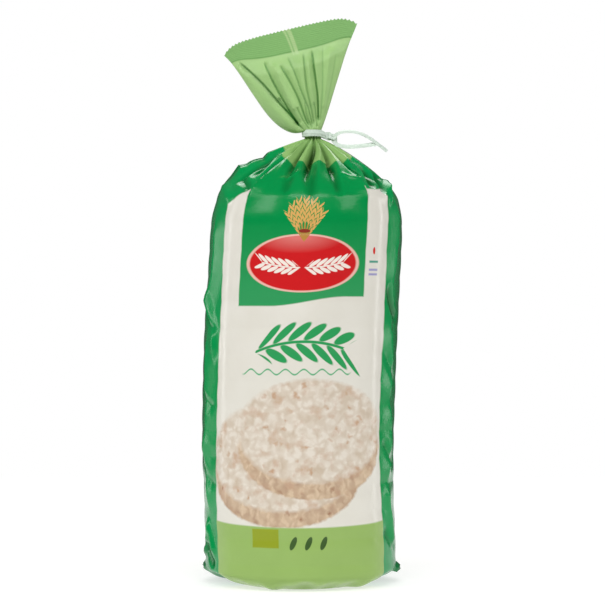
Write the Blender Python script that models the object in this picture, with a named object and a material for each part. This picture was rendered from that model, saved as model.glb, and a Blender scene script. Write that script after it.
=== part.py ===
"""A sealed film bag of puffed rice cakes: a gusseted, flat-bottomed bag round a stack of round cakes,
gathered into a neck by a flat twist tie, with its sealed top edge fanned out above the tie.

Metres, +Z up. The origin is the middle of the bag's base, and the front of the bag faces -Y.
"""

import math

import bmesh
import bpy
from mathutils import Vector

# The stack of cakes inside sets the bag's girth and height.
BODY_RADIUS = 0.0485
BODY_TOP = 0.193
BASE_ROUNDING = 0.006
BASE_FLAT_RADIUS = 0.040
CORNER_RIDGE = 0.0012
CORNER_SHARPNESS = 12
BODY_LEAN = 0.0035
LEAN_BOW = 0.55

# The neck, where the tie grips the gathered film.
NECK_CENTRE = Vector((0.0060, 0.0, 0.2275))
NECK_RADIUS = 0.0047
NECK_HALF_HEIGHT = 0.0022

# The pleated shoulder between the top cake's rim and the neck.
SHOULDER_PLEATS = 15
SHOULDER_PLEAT_DEPTH = 0.0018
SHOULDER_PLEAT_FADE = 0.8
SHOULDER_BULGE = 0.0012
SHOULDER_IN_POWER = 1.15
SHOULDER_UP_POWER = 0.85
SHOULDER_EAR_RISE = 0.0060
EAR_SHARPNESS = 6
EAR_PLACE = 0.7

# The fan above the tie, as the (x, z) control points of its two side edges.
FAN_LEFT = ((0.0014, 0.2300), (-0.0220, 0.2294), (-0.0323, 0.2680), (-0.0396, 0.2681))
FAN_RIGHT = ((0.0106, 0.2300), (0.0182, 0.2472), (0.0219, 0.2663), (0.0290, 0.2840))
FAN_CROWN = 0.0050
FAN_CROWN_SHARPNESS = 8
FAN_PLEATS = 9
FAN_PLEAT_DEPTH = 0.0010
FAN_PLEAT_FADE = 0.7
FAN_TOP_HALF_THICKNESS = 0.0011
FAN_THINNING_POWER = 0.6
FAN_TOP_EDGE_POWER = 0.35
FAN_CURL = 0.006

# The flat twist tie: a ribbon round the neck, its two ends twisted together and left as an open loop.
TIE_HALF_WIDTH = 0.0017
TIE_HALF_THICKNESS = 0.0003
TIE_RING_RADIUS = 0.0058
TIE_RING_OPENING = math.radians(38.0)
TIE_STRAND_OFFSET = 0.00035
TIE_TWIST_START = Vector((0.0138, 0.0, 0.2268))
TIE_TWIST_END = Vector((0.0193, 0.0, 0.2275))
TIE_TWIST_TURN = math.pi
TIE_TWIST_OVERLAP = 0.0007
TIE_UPPER_TURN = 0.30 * math.pi
TIE_LOWER_TURN = 0.12 * math.pi
TIE_UPPER_END = ((0.0230, 0.2292), (0.0275, 0.2290), (0.0330, 0.2268), (0.0393, 0.2218), (0.0437, 0.2182))
TIE_LOWER_END = ((0.0220, 0.2238), (0.0262, 0.2220), (0.0320, 0.2219), (0.0372, 0.2230))
TIE_LOOP_DEPTH = 0.0014
TIE_RING_STEPS = 32
TIE_TWIST_STEPS = 16
TIE_END_STEPS = 5

RING_POINTS = 88
BODY_LEVELS = 8
SHOULDER_LEVELS = 11
FAN_LEVELS = 10


def smooth(x):
    """Ease from 0 to 1 as x goes from 0 to 1."""
    x = min(max(x, 0.0), 1.0)
    return x * x * (3.0 - 2.0 * x)


def mix(a, b, share):
    return a + (b - a) * share


def bezier(points, t):
    """Point at t on a cubic curve in the XZ plane, from its four (x, z) control points."""
    weights = ((1 - t) ** 3, 3 * t * (1 - t) ** 2, 3 * t * t * (1 - t), t ** 3)
    x = sum(w * p[0] for w, p in zip(weights, points))
    z = sum(w * p[1] for w, p in zip(weights, points))
    return Vector((x, 0.0, z))


def outline(angle):
    """Share of the body radius at this angle: a circle with four corner creases standing proud."""
    crease = abs(math.sin(2.0 * angle)) ** CORNER_SHARPNESS
    return 1.0 + CORNER_RIDGE / BODY_RADIUS * crease


def axis_at(height):
    """The stack leans a little, so the bag's centre line drifts to the right near its top."""
    share = height / BODY_TOP
    return BODY_LEAN * (share * share - LEAN_BOW * math.sin(math.pi * share))


def ring_angles():
    return [2.0 * math.pi * i / RING_POINTS for i in range(RING_POINTS)]


def body_ring(radius, height):
    ring = []
    for angle in ring_angles():
        r = radius * outline(angle)
        ring.append(Vector((axis_at(height) + r * math.sin(angle), -r * math.cos(angle), height)))
    return ring


def base_rings():
    """The flat base and the rounded edge that leads up from it."""
    rings = [body_ring(BASE_FLAT_RADIUS * share, 0.0) for share in (0.35, 0.7, 1.0)]
    for step in range(1, 4):
        turn = math.pi / 2 * step / 3
        radius = mix(BASE_FLAT_RADIUS, BODY_RADIUS, math.sin(turn))
        rings.append(body_ring(radius, BASE_ROUNDING * (1.0 - math.cos(turn))))
    return rings


def body_rings():
    heights = [mix(BASE_ROUNDING, BODY_TOP, (i + 1) / BODY_LEVELS) for i in range(BODY_LEVELS)]
    return [body_ring(BODY_RADIUS, height) for height in heights]


def shoulder_rings():
    """From the top cake's rim in to the neck, with pleats and the left side fold up as an ear."""
    rings = []
    neck_low = NECK_CENTRE.z - NECK_HALF_HEIGHT
    for i in range(1, SHOULDER_LEVELS + 1):
        share = i / SHOULDER_LEVELS
        radius = mix(BODY_RADIUS, NECK_RADIUS, share ** SHOULDER_IN_POWER)
        centre_x = mix(axis_at(BODY_TOP), NECK_CENTRE.x, smooth(share))
        bulge = SHOULDER_BULGE * math.sin(math.pi * share)
        rise = mix(BODY_TOP, neck_low, share ** SHOULDER_UP_POWER) + bulge
        depth = SHOULDER_PLEAT_DEPTH * abs(math.sin(math.pi * share)) ** SHOULDER_PLEAT_FADE
        ear_rise = SHOULDER_EAR_RISE * math.sin(math.pi * share ** EAR_PLACE)
        ring = []
        for angle in ring_angles():
            pleat = depth * math.cos(SHOULDER_PLEATS * angle)
            ear = ear_rise * max(-math.sin(angle), 0.0) ** EAR_SHARPNESS
            r = radius * mix(outline(angle), 1.0, share)
            ring.append(Vector((centre_x + r * math.sin(angle), -r * math.cos(angle), rise + pleat + ear)))
        rings.append(ring)
    return rings


def neck_top_ring():
    top = NECK_CENTRE.z + NECK_HALF_HEIGHT
    return [
        Vector((NECK_CENTRE.x + NECK_RADIUS * math.sin(a), -NECK_RADIUS * math.cos(a), top))
        for a in ring_angles()
    ]


def fan_rings():
    """The gathered bundle opens out and flattens into the sealed top edge."""
    rings = []
    for i in range(1, FAN_LEVELS + 1):
        share = i / FAN_LEVELS
        left, right = bezier(FAN_LEFT, share), bezier(FAN_RIGHT, share)
        centre, across = (left + right) / 2, (right - left).normalized()
        along = Vector((-across.z, 0.0, across.x))
        half_width = (right - left).length / 2
        half_thickness = mix(NECK_RADIUS, FAN_TOP_HALF_THICKNESS, share ** FAN_THINNING_POWER)
        depth = FAN_PLEAT_DEPTH * abs(math.sin(math.pi * share)) ** FAN_PLEAT_FADE
        ring = []
        for angle in ring_angles():
            across_share = math.sin(angle)
            side = -1.0 if math.cos(angle) > 0 else 1.0
            flat = abs(math.cos(angle)) ** mix(1.0, FAN_TOP_EDGE_POWER, share)
            pleat = depth * math.cos(FAN_PLEATS * math.pi * across_share) * flat
            curl = FAN_CURL * share * across_share * across_share
            crown = FAN_CROWN * share * share * (1.0 - across_share ** FAN_CROWN_SHARPNESS)
            y = side * flat * half_thickness + side * pleat + curl
            place = centre + across * (half_width * across_share) + along * crown
            ring.append(Vector((place.x, y, place.z)))
        rings.append(ring)
    return rings


def cap(bm, ring, middle, inward):
    """Close an end with a fan of triangles round its middle point."""
    centre = bm.verts.new(middle)
    for i, vert in enumerate(ring):
        following = ring[(i + 1) % len(ring)]
        bm.faces.new((centre, following, vert) if inward else (centre, vert, following))


def bridge(bm, rings):
    rows = [[bm.verts.new(place) for place in ring] for ring in rings]
    for low, high in zip(rows, rows[1:]):
        for i in range(RING_POINTS):
            j = (i + 1) % RING_POINTS
            bm.faces.new((low[i], low[j], high[j], high[i]))
    return rows


def zip_edge(bm, ring):
    """Close the flat top edge: front points are joined straight across to the back points behind them."""
    count = len(ring)
    quarter = count // 4
    front = [ring[(i - quarter) % count] for i in range(count // 2 + 1)]
    back = [ring[(-i - quarter) % count] for i in range(count // 2 + 1)]
    for i in range(len(front) - 1):
        corners = []
        for vert in (front[i], front[i + 1], back[i + 1], back[i]):
            if vert not in corners:
                corners.append(vert)
        bm.faces.new(corners)


def material(name, colour, roughness, metallic=0.0):
    made = bpy.data.materials.new(name)
    made.use_nodes = True
    shader = made.node_tree.nodes["Principled BSDF"]
    shader.inputs["Base Color"].default_value = (*colour, 1.0)
    shader.inputs["Roughness"].default_value = roughness
    shader.inputs["Metallic"].default_value = metallic
    return made


def make_bag(collection):
    """One closed body of film: base, body, pleated shoulder, neck and fanned top."""
    bm = bmesh.new()
    rings = base_rings() + body_rings() + shoulder_rings() + [neck_top_ring()] + fan_rings()
    rows = bridge(bm, rings)
    cap(bm, rows[0], Vector((axis_at(0.0), 0.0, 0.0)), inward=True)
    zip_edge(bm, rows[-1])
    bmesh.ops.recalc_face_normals(bm, faces=bm.faces)
    mesh = bpy.data.meshes.new("film_bag")
    bm.to_mesh(mesh)
    bm.free()
    mesh.shade_smooth()
    bag = bpy.data.objects.new("film_bag", mesh)
    mesh.materials.append(material("printed_film", (0.02, 0.33, 0.09), 0.3))
    collection.objects.link(bag)
    return bag


def smooth_route(route):
    """Points read from a smooth curve through a route."""
    found = [route[0]]
    for i in range(len(route) - 1):
        before = route[max(i - 1, 0)]
        after = route[min(i + 2, len(route) - 1)]
        a, b = route[i], route[i + 1]
        tangent_a, tangent_b = (b - before) / 2, (after - a) / 2
        for step in range(1, TIE_END_STEPS + 1):
            t = step / TIE_END_STEPS
            found.append(
                a * (2 * t ** 3 - 3 * t ** 2 + 1)
                + tangent_a * (t ** 3 - 2 * t ** 2 + t)
                + b * (-2 * t ** 3 + 3 * t ** 2)
                + tangent_b * (t ** 3 - t ** 2)
            )
    return found


def ribbon(name, route, turns, half_thickness, collection):
    """A flat strip along a route, turned about it, with its width upright where the turn is 0."""
    curve = bpy.data.curves.new(name, "CURVE")
    curve.dimensions = "3D"
    curve.twist_mode = "Z_UP"
    curve.fill_mode = "FULL"
    curve.use_fill_caps = True
    curve.extrude = TIE_HALF_WIDTH - half_thickness
    curve.bevel_depth = half_thickness
    curve.bevel_resolution = 1
    spline = curve.splines.new("POLY")
    spline.points.add(len(route) - 1)
    for point, place, turn in zip(spline.points, route, turns):
        point.co = (*place, 1.0)
        point.tilt = turn
    strip = bpy.data.objects.new(name + "_curve", curve)
    collection.objects.link(strip)
    return mesh_of(strip, name, collection)


def mesh_of(curve_object, name, collection):
    """A curve object turned into a mesh object with its caps welded on."""
    bpy.context.view_layer.update()
    evaluated = curve_object.evaluated_get(bpy.context.evaluated_depsgraph_get())
    mesh = bpy.data.meshes.new_from_object(evaluated)
    bm = bmesh.new()
    bm.from_mesh(mesh)
    bmesh.ops.remove_doubles(bm, verts=bm.verts, dist=1e-6)
    bmesh.ops.recalc_face_normals(bm, faces=bm.faces)
    bm.to_mesh(mesh)
    bm.free()
    mesh.name = name
    made = bpy.data.objects.new(name, mesh)
    made.matrix_world = curve_object.matrix_world
    collection.objects.link(made)
    bpy.data.objects.remove(curve_object)
    return made


def neck_loop():
    """The ribbon's route round the neck, with both its ends run into the start of the twist."""
    inside = TIE_TWIST_START + Vector((TIE_TWIST_OVERLAP, 0.0, 0.0))
    offset = Vector((0.0, TIE_STRAND_OFFSET, 0.0))
    route = [inside - offset, TIE_TWIST_START - offset]
    for i in range(TIE_RING_STEPS + 1):
        angle = mix(-TIE_RING_OPENING, TIE_RING_OPENING - 2.0 * math.pi, i / TIE_RING_STEPS)
        route.append(NECK_CENTRE + TIE_RING_RADIUS * Vector((math.cos(angle), math.sin(angle), 0.0)))
    return route + [TIE_TWIST_START + offset, inside + offset]


def free_end(ends, side):
    """The route of one free end, from inside the twist to its tip, drifting off the other in Y."""
    near, far = side * TIE_STRAND_OFFSET, side * TIE_LOOP_DEPTH
    start = TIE_TWIST_END - Vector((TIE_TWIST_OVERLAP, -near, 0.0))
    bent = [Vector((x, mix(near, far, smooth((i + 1) / 2)), z)) for i, (x, z) in enumerate(ends)]
    return smooth_route([start] + bent)


def ramp(count, end):
    return [end * smooth(i / (count - 1)) for i in range(count)]


def make_tie(collection):
    """The twist is the body; the loop round the neck and the two free ends are joined to it."""
    joiners = bpy.data.collections.new("joiners")
    bpy.context.scene.collection.children.link(joiners)
    shares = [i / TIE_TWIST_STEPS for i in range(TIE_TWIST_STEPS + 1)]
    twist_route = [TIE_TWIST_START.lerp(TIE_TWIST_END, share) for share in shares]
    twist_turns = [TIE_TWIST_TURN * share for share in shares]
    pair_half_thickness = TIE_STRAND_OFFSET + TIE_HALF_THICKNESS
    tie = ribbon("twist_tie", twist_route, twist_turns, pair_half_thickness, collection)
    tie.data.materials.append(material("tie_plastic", (0.85, 0.86, 0.85), 0.4))
    loop, upper, lower = neck_loop(), free_end(TIE_UPPER_END, -1.0), free_end(TIE_LOWER_END, 1.0)
    strips = (
        ribbon("neck_loop", loop, ramp(len(loop), 0.0), TIE_HALF_THICKNESS, joiners),
        ribbon("upper_end", upper, ramp(len(upper), TIE_UPPER_TURN), TIE_HALF_THICKNESS, joiners),
        ribbon("lower_end", lower, ramp(len(lower), TIE_LOWER_TURN), TIE_HALF_THICKNESS, joiners),
    )
    for strip in strips:
        strip.hide_render = True
        strip.display_type = "WIRE"
        union = tie.modifiers.new(strip.name, "BOOLEAN")
        union.operation = "UNION"
        union.solver = "EXACT"
        union.object = strip
    return tie


def main():
    for obj in list(bpy.data.objects):
        bpy.data.objects.remove(obj)
    collection = bpy.data.collections.new("rice_cake_pack")
    bpy.context.scene.collection.children.link(collection)
    make_bag(collection)
    make_tie(collection)


main()
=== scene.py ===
"""Looks of a shut film bag of puffed rice cakes, tied at the neck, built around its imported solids."""
import math

import bpy
import numpy as np
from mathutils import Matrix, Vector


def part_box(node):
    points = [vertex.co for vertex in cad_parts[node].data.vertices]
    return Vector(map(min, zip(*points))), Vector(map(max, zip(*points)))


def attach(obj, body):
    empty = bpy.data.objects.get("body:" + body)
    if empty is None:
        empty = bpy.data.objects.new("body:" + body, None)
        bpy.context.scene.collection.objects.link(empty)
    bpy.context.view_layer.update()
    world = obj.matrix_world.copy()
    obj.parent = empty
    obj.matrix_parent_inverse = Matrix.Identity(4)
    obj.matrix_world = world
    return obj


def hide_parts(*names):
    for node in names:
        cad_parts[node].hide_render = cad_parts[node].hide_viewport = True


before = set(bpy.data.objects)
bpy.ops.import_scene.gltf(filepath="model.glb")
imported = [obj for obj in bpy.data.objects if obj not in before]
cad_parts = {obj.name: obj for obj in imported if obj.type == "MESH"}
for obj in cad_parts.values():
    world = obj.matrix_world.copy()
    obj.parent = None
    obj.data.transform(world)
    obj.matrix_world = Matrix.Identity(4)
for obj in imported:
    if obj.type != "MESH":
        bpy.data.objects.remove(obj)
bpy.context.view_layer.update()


# ---- The filled body ------------------------------------------------------------------------
# A tube of printed film pulled tight round a stack of fifteen round cakes. It was folded flat
# with four pressed corner creases, so it keeps soft edges there and loose folds down its sides,
# and its mouth is gathered in pleats towards the neck.

MM = 0.001
bag_low, bag_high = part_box("film_bag")
BAG_RADIUS = (bag_high.y - bag_low.y) / 2 / MM
FILM_ROUND = 2 * math.pi * BAG_RADIUS
CAKE_COUNT = 15
CAKE_PITCH = 12.87
STACK_TOP = CAKE_COUNT * CAKE_PITCH
STACK_LEAN = 3.5
LEAN_BOW = 0.55
SEAT_RADIUS = 35.0
SEAT_EDGE = 7.5
CORNER_LIFT = 1.5
CORNER_RIDGE = 1.1
CORNER_SHARPNESS = 12
RIM_ROUNDING = 1.9
RIM_RUN = 12.0
RIM_FALL = 1.6
NECK_X, NECK_Z = 6.0, 227.5
NECK_RADIUS = 4.5
SHOULDER_TOP = NECK_Z - 2.4
COLUMNS = 312
BODY_ROWS = 176
SEAT_ROWS = 8
EDGE_ROWS = 10
SHOULDER_ROWS = 72
SEAT_FILM_EDGE = -6.0

# The valleys between the pleats of the gathered mouth: degrees from the front, and strength.
PLEAT_VALLEYS = ((-168, 0.9), (-147, 1.1), (-126, 0.8), (-108, 1.1), (-84, 1.0), (-60, 1.3), (-38, 0.8),
                 (-17, 1.1), (3, 1.5), (23, 1.0), (41, 0.9), (60, 1.4), (84, 0.9), (105, 1.1),
                 (128, 0.9), (151, 1.2), (176, 1.0))
PLEAT_SHARPNESS = 0.62
SMALL_PLEATS = 2.5


def smooth(share):
    share = np.clip(share, 0.0, 1.0)
    return share * share * (3.0 - 2.0 * share)


def mix(first, second, share):
    return first + (second - first) * share


def lean(height):
    """Sideways place of the stack's middle at a height, because the cakes don't stand quite true."""
    share = np.clip(height / STACK_TOP, 0.0, 1.0)
    return STACK_LEAN * (share ** 2 - LEAN_BOW * np.sin(math.pi * share))


def smooth_line(points, steps=8):
    """Points along a smooth curve through the given ones, with steps between each two."""
    points = np.array(points, float)
    padded = np.vstack([2 * points[0] - points[1], points, 2 * points[-1] - points[-2]])
    line = []
    for before, start, end, after in zip(padded, padded[1:], padded[2:], padded[3:]):
        for share in np.arange(steps) / steps:
            line.append(0.5 * (2 * start + (end - before) * share
                               + (2 * before - 5 * start + 4 * end - after) * share ** 2
                               + (3 * start - before - 3 * end + after) * share ** 3))
    return np.array(line + [points[-1]])


def crease(place, route, height, left=4.0, right=4.0, sharp=1.4, fade=0.25):
    """Height of one crease at every place: highest along the route, run out on each side of it,
    and faded at both ends. Places, route and reaches are in millimetres of flat film."""
    line = smooth_line(route)
    runs = np.linalg.norm(np.diff(line, axis=0), axis=1)
    starts = np.concatenate([[0.0], np.cumsum(runs)])
    nearest = np.full(place.shape[:-1], np.inf)
    relief = np.zeros(place.shape[:-1])
    for start, end, run, before in zip(line, line[1:], runs, starts):
        along = end - start
        share = np.clip(((place - start) @ along) / (along @ along), 0.0, 1.0)
        away = place - (start + share[..., None] * along)
        distance = np.linalg.norm(away, axis=-1)
        side = along[0] * away[..., 1] - along[1] * away[..., 0]
        reach = np.where(side > 0, left, right)
        at_end = (before + share * run) / starts[-1]
        strength = smooth(np.minimum(at_end, 1.0 - at_end) / fade)
        here = strength * np.clip(1.0 - distance / reach, 0.0, 1.0) ** sharp
        relief = np.where(distance < nearest, here, relief)
        nearest = np.minimum(nearest, distance)
    return height * relief


def surface_normals(rows):
    """Outward normals of a grid of rows that closes round on itself."""
    round_way = np.roll(rows, -1, axis=1) - np.roll(rows, 1, axis=1)
    up_way = np.gradient(rows, axis=0)
    normals = np.cross(round_way, up_way)
    return normals / np.maximum(np.linalg.norm(normals, axis=-1, keepdims=True), 1e-9)


def film_mesh(name, rows, film, folded, sealed_top=False):
    """A closed tube from a grid of rows in millimetres. A fan of faces closes its lower end, and a
    fan or, on a sealed top, a strip from front to back closes the upper one. film holds each
    point's place on the flat film, kept as the UV map of that name, and folded how much painted
    shade darkens each point in the valleys of the folds, kept as the attribute painted_fold_shade."""
    row_count, column_count = rows.shape[:2]
    vertices = np.vstack([rows.reshape(-1, 3), rows[0].mean(axis=0), rows[-1].mean(axis=0)])
    bottom, top = row_count * column_count, row_count * column_count + 1
    step = film[:, -1:, :] * 2 - film[:, -2:-1, :]
    film = np.concatenate([film, step], axis=1)
    faces, places = [], []
    for column in range(column_count):
        after = (column + 1) % column_count
        faces.append((bottom, after, column))
        places += [film[0, column], film[0, column + 1], film[0, column]]
    for row in range(row_count - 1):
        for column in range(column_count):
            after = (column + 1) % column_count
            faces.append((row * column_count + column, row * column_count + after,
                          (row + 1) * column_count + after, (row + 1) * column_count + column))
            places += [film[row, column], film[row, column + 1],
                       film[row + 1, column + 1], film[row + 1, column]]
    last = (row_count - 1) * column_count
    for column in range(column_count // 2 if sealed_top else column_count):
        after = (column + 1) % column_count
        if sealed_top:
            behind = [(column_count - place) % column_count for place in (after, column)]
            ring = [column, after] + [place for place in behind if place not in (column, after)]
        else:
            ring = [column, after]
        faces.append(tuple(last + place for place in ring) + (() if sealed_top else (top,)))
        places += [film[-1, place] for place in ring] + ([] if sealed_top else [film[-1, column]])
    if sealed_top:
        vertices = vertices[:-1]
    mesh = bpy.data.meshes.new(name)
    mesh.from_pydata((vertices * MM).tolist(), [], faces)
    mesh.uv_layers.new(name="film").data.foreach_set("uv", np.array(places).ravel())
    # Painted shade for the fold valleys: 0 leaves the ink as printed, 1 darkens it fully.
    fold_shade_values = np.zeros(len(vertices))
    fold_shade_values[:folded.size] = np.clip(folded, 0.0, 1.0).ravel()
    mesh.attributes.new("painted_fold_shade", "FLOAT", "POINT").data.foreach_set("value", fold_shade_values)
    mesh.shade_smooth()
    piece = bpy.data.objects.new(name, mesh)
    bpy.context.scene.collection.objects.link(piece)
    return piece


turns = (np.arange(COLUMNS) / COLUMNS * 2.0 - 1.0) * math.pi
degrees = np.degrees(turns)
arcs = turns * BAG_RADIUS
corner = 1.0 + CORNER_RIDGE / BAG_RADIUS * np.abs(np.sin(2.0 * turns)) ** CORNER_SHARPNESS

# The pleats are counted from valley to valley, so they are as uneven as their places.
valleys, strengths = np.array(PLEAT_VALLEYS, float).T
wrapped = np.concatenate([[valleys[-1] - 360.0], valleys, [valleys[0] + 360.0]])


def pleat_valleys(share):
    """How deep each way round lies between the pleats, from 0 on a ridge to about 1.5 in the
    strongest valley, and the same for small pleats between them. The valleys wander a little."""
    drifted = degrees + 4.0 * np.sin(2.0 * turns + 1.0) * math.sin(3.0 * share + 0.5)
    drifted = drifted + 2.5 * np.sin(5.0 * turns + 4.0 * share)
    count = np.interp(drifted, wrapped, np.arange(len(wrapped)))
    strength = np.interp(drifted, valleys, strengths, period=360.0)
    deep = strength * (1.0 - np.abs(np.sin(math.pi * count)) ** PLEAT_SHARPNESS)
    return deep, 0.5 - 0.5 * np.cos(2.0 * math.pi * count * SMALL_PLEATS + 1.1)


rows, film = [], []
for share in np.linspace(0.02, 1.0, SEAT_ROWS):
    radius = SEAT_RADIUS * share
    rows.append(np.stack([radius * np.sin(turns), -radius * np.cos(turns), 0.0 * turns], axis=1))
    film.append(np.stack([arcs, 0.0 * arcs - SEAT_RADIUS * (1.0 - share) + SEAT_FILM_EDGE], axis=1))
for share in np.linspace(0.0, 1.0, EDGE_ROWS + 1)[1:]:
    turn = share * math.pi / 2
    radius = SEAT_RADIUS + (BAG_RADIUS - SEAT_RADIUS) * math.sin(turn)
    height = SEAT_EDGE * (1.0 - math.cos(turn))
    rows.append(np.stack([radius * corner * np.sin(turns) + lean(height),
                          -radius * corner * np.cos(turns), height + 0.0 * turns], axis=1))
    film.append(np.stack([arcs, 0.0 * arcs + mix(SEAT_FILM_EDGE, SEAT_EDGE, share)], axis=1))
for height in np.linspace(SEAT_EDGE, STACK_TOP, BODY_ROWS + 1)[1:]:
    near_rim = max(1.0 - (STACK_TOP - height) / RIM_RUN, 0.0)
    radius = BAG_RADIUS - RIM_ROUNDING * near_rim ** RIM_FALL
    rows.append(np.stack([radius * corner * np.sin(turns) + lean(height),
                          -radius * corner * np.cos(turns), height + 0.0 * turns], axis=1))
    film.append(np.stack([arcs, 0.0 * arcs + height], axis=1))
# Painted shade in the folds: none on the base and on the body below the shoulder.
fold_shade = [0.0 * turns for row in rows]

# Above the top cake the film runs in to the neck. Its pleats deepen as the way round shortens.
PLEAT_DEPTH = 5.8
SMALL_PLEAT_DEPTH = 0.5
PLEAT_NECK_DEPTH = 0.8
SHOULDER_RUN = math.hypot(BAG_RADIUS, SHOULDER_TOP - STACK_TOP)
SHOULDER_IN_POWER, SHOULDER_UP_POWER, SHOULDER_BULGE = 1.15, 0.85, 1.2
LEFT_EAR_RISE, RIGHT_EAR_RISE = 4.5, 1.4
LEFT_EAR_SHARPNESS, RIGHT_EAR_SHARPNESS, EAR_PLACE = 6, 8, 0.7
for share in np.linspace(0.0, 1.0, SHOULDER_ROWS + 1)[1:]:
    way_in = share ** SHOULDER_IN_POWER
    radius = mix(BAG_RADIUS - RIM_ROUNDING, NECK_RADIUS, way_in)
    middle = mix(lean(STACK_TOP), NECK_X, smooth(share))
    height = mix(STACK_TOP, SHOULDER_TOP, share ** SHOULDER_UP_POWER)
    height += SHOULDER_BULGE * math.sin(math.pi * share)
    gathered = smooth((share - 0.04) / 0.6) * (1.0 - 0.78 * smooth((share - 0.66) / 0.34))
    pleat_valley, small_pleats = pleat_valleys(share)
    pulled_in = gathered * (PLEAT_DEPTH * pleat_valley + SMALL_PLEAT_DEPTH * small_pleats)
    radii = radius * mix(corner, 1.0, share) - 0.6 * pulled_in
    ear = np.maximum(-np.sin(turns), 0.0) ** LEFT_EAR_SHARPNESS * LEFT_EAR_RISE
    ear = ear + np.maximum(np.sin(turns), 0.0) ** RIGHT_EAR_SHARPNESS * RIGHT_EAR_RISE
    rows.append(np.stack([radii * np.sin(turns) + middle, -radii * np.cos(turns),
                          height - 0.8 * pulled_in + ear * math.sin(math.pi * share ** EAR_PLACE)], axis=1))
    film.append(np.stack([arcs, 0.0 * arcs + STACK_TOP + SHOULDER_RUN * share], axis=1))
    # Painted shade in the deeper valleys between the pleats.
    fold_shade.append(gathered * np.clip(1.5 * pleat_valley - 0.5, 0.0, 1.0))
for height in (SHOULDER_TOP + 0.9, SHOULDER_TOP + 1.7, SHOULDER_TOP + 2.5):
    radii = NECK_RADIUS - PLEAT_NECK_DEPTH * pleat_valley
    rows.append(np.stack([radii * np.sin(turns) + NECK_X, -radii * np.cos(turns),
                          height + 0.0 * turns], axis=1))
    film.append(np.stack([arcs, 0.0 * arcs + STACK_TOP + SHOULDER_RUN + height - SHOULDER_TOP], axis=1))
    # Lighter painted shade in the pleat valleys at the neck.
    fold_shade.append(0.3 * pleat_valley)
rows, film = np.array(rows), np.array(film)

# Creases on the flat film: route as (way round, height), then height, left and right reach.
# The side panels buckle in long facets that cross over in diamonds, and the shoulder has
# the dents between its pleats.
SIDE_CREASES = (
    (((-57, 190), (-56, 165), (-59, 148), (-68, 134)), 1.7, 11.0, 7.0),
    (((-68, 152), (-60, 138), (-53, 124), (-52, 108)), 1.6, 7.0, 7.0),
    (((-60, 132), (-61, 104), (-59, 82), (-64, 58)), 1.8, 12.0, 6.0),
    (((-66, 80), (-60, 58), (-57, 34)), 1.5, 8.0, 7.0),
    (((-68, 142), (-58, 131), (-49, 126)), -1.6, 4.0, 5.0),
    (((-68, 100), (-58, 92), (-50, 88)), -1.2, 4.0, 5.0),
    (((-66, 64), (-58, 54), (-50, 50)), -1.2, 4.0, 5.0),
    (((-62, 34), (-56, 24), (-51, 14)), 1.9, 4.0, 5.0),
    (((-68, 24), (-60, 15), (-52, 8)), -2.0, 3.5, 4.0),
    (((-72, 12), (-62, 24), (-58, 30)), 1.4, 3.0, 3.0),
    (((57, 198), (60, 176), (57, 156), (55, 144)), 1.7, 8.0, 11.0),
    (((51, 152), (58, 141), (68, 131)), -1.9, 4.0, 5.0),
    (((54, 136), (59, 112), (56, 90)), 1.8, 6.0, 11.0),
    (((51, 118), (60, 107), (69, 98)), -1.5, 4.0, 5.0),
    (((56, 98), (59, 72), (54, 48)), 1.7, 7.0, 10.0),
    (((50, 74), (58, 65), (67, 58)), -1.5, 4.0, 4.0),
    (((53, 54), (58, 34), (64, 14)), 1.8, 8.0, 7.0),
    (((50, 30), (58, 22), (67, 17)), -1.4, 4.0, 4.0),
    (((-76, 150), (-78, 120), (-75, 70), (-77, 40)), 0.8, 14.0, 14.0),
    (((77, 200), (75, 150), (78, 110), (76, 70)), 1.0, 14.0, 14.0),
    (((98, 185), (100, 140), (96, 90), (99, 30)), 1.5, 12.0, 9.0),
    (((-98, 185), (-97, 130), (-101, 80), (-98, 30)), 1.5, 9.0, 12.0),
    (((90, 150), (99, 138), (108, 130)), -1.5, 5.0, 4.0),
    (((-108, 110), (-99, 99), (-90, 92)), -1.5, 5.0, 4.0),
    (((88, 70), (98, 60), (109, 54)), -1.4, 5.0, 4.0),
    (((-92, 60), (-101, 48), (-110, 42)), -1.4, 5.0, 4.0),
    (((66, 3), (75, 7), (86, 4)), 3.0, 3.0, 3.5),
    (((-88, 4), (-77, 8), (-66, 4)), 1.6, 3.0, 3.5),
)
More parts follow.
